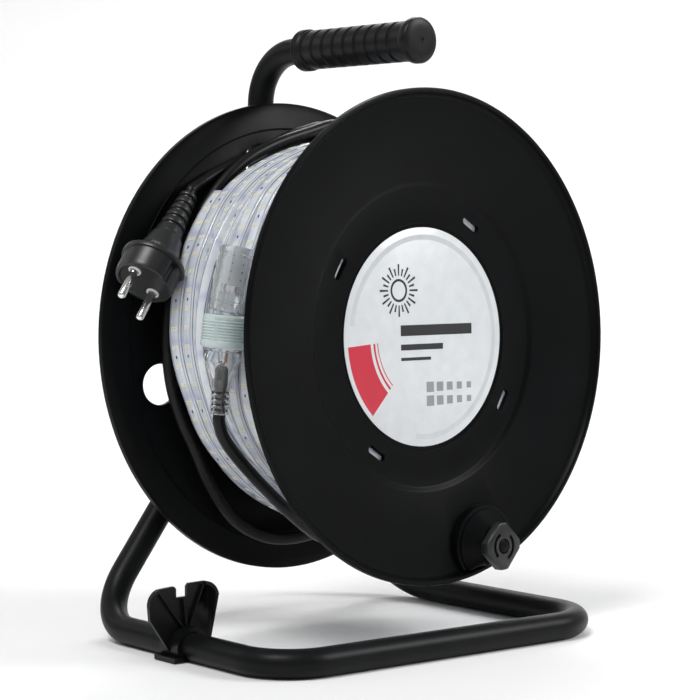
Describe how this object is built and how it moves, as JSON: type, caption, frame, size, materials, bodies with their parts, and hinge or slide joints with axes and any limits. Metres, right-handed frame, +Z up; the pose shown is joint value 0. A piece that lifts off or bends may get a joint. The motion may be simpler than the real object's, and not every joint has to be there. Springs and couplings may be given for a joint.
{
  "type": "led strip light",
  "caption": "Clear LED light strip wound on a black plastic drum with a bent tube stand, carrying grip, winding knob, clear connector and a mains plug lead.",
  "frame": {"origin": "centre of the bounding box in x and y, at the floor that the foot tube rests on", "axes": "+X is the front, towards the label and along the drum's axle; +Y is to the right seen from the back; +Z is up"},
  "size_m": [0.2096, 0.2982, 0.3617],
  "materials": {
    "black_coat": "satin powder coat",
    "grip_plastic": "satin moulded",
    "clip_plastic": "satin moulded",
    "plated_steel": "zinc plated",
    "drum_plastic": "satin moulded",
    "label_film": "printed film, semi-gloss",
    "strip_pvc": "clear PVC over a white light strip",
    "clear_pvc": "clear moulded PVC",
    "milky_pvc": "milky moulded plastic",
    "lead_rubber": "satin rubber sheath",
    "plug_plastic": "satin moulded rubber",
    "plated_brass": "bright nickel plate"
  },
  "bodies": {
    "stand": {"stand_tube": "black_coat", "carry_grip": "grip_plastic", "foot_clip": "clip_plastic", "axle_washer": "plated_steel", "axle_nut": "plated_steel"},
    "drum": {"rear_flange": "drum_plastic", "front_flange": "drum_plastic", "label": "label_film", "strip_winding": "strip_pvc", "connector_body": "clear_pvc", "connector_nut": "milky_pvc", "connector_tail": "clear_pvc", "plug_lead": "lead_rubber", "plug_body": "plug_plastic", "plug_pin_1": "plated_brass", "plug_pin_2": "plated_brass", "knob_pin": "drum_plastic"},
    "knob": {"winding_knob": "drum_plastic"}
  },
  "joints": [
    {"name": "drum_spin", "type": "hinge", "parent": "stand", "child": "drum", "pos_m": [-0.00333, 0.00663, 0.17657], "axis": [0.9997, 0, 0.0262], "continuous": true},
    {"name": "knob_spin", "type": "hinge", "parent": "drum", "child": "knob", "pos_m": [0.07686, 0.04463, 0.05583], "axis": [0.9997, 0, 0.0262], "continuous": true}
  ]
}
